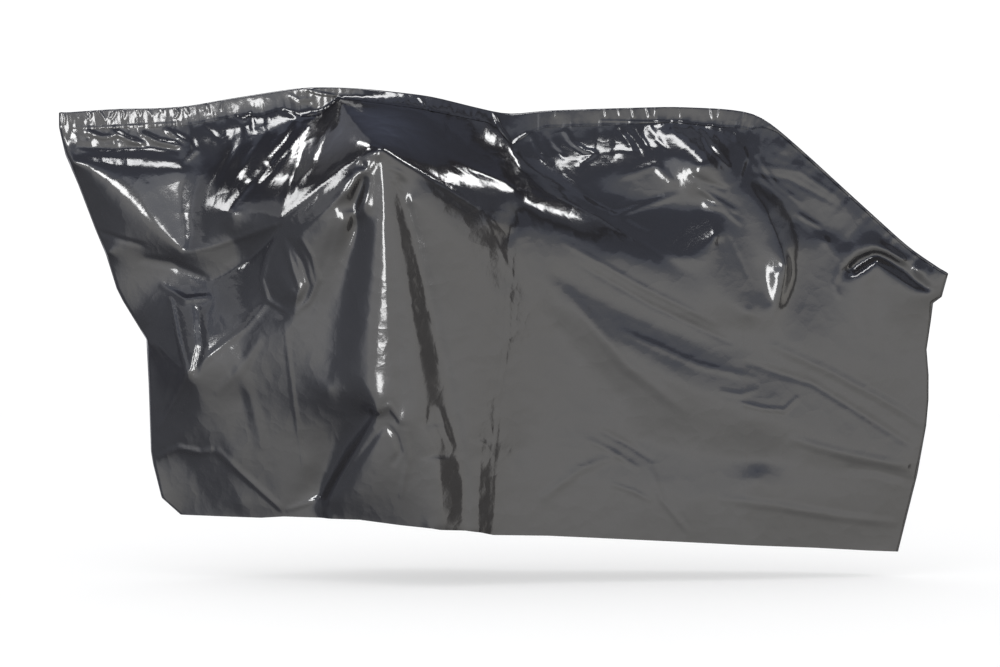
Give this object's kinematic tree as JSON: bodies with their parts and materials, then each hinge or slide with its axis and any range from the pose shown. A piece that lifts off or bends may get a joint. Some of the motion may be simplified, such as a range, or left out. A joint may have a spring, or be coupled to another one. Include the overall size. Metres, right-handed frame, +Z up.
{
  "type": "bicycle cover",
  "caption": "Bag-shaped bicycle cover of thin glossy plastic film, hanging in sharp folds over an absent bicycle, with a folded strip welded along its closed top edge and an open hem.",
  "frame": {"origin": "on the underside of the cover's top, halfway along, where the bicycle comes up to it", "axes": "+X from the front wheel's end to the rear wheel's end, +Y to the far side, +Z up"},
  "size_m": [2.1, 0.578, 1.0999],
  "materials": {
    "film": "glossy dark grey polyethylene film",
    "heading_film": "glossy dark grey polyethylene film, folded double and puckered by its weld"
  },
  "bodies": {
    "root": {"film_body": "film", "heading_strip": "heading_film"}
  },
  "joints": []
}
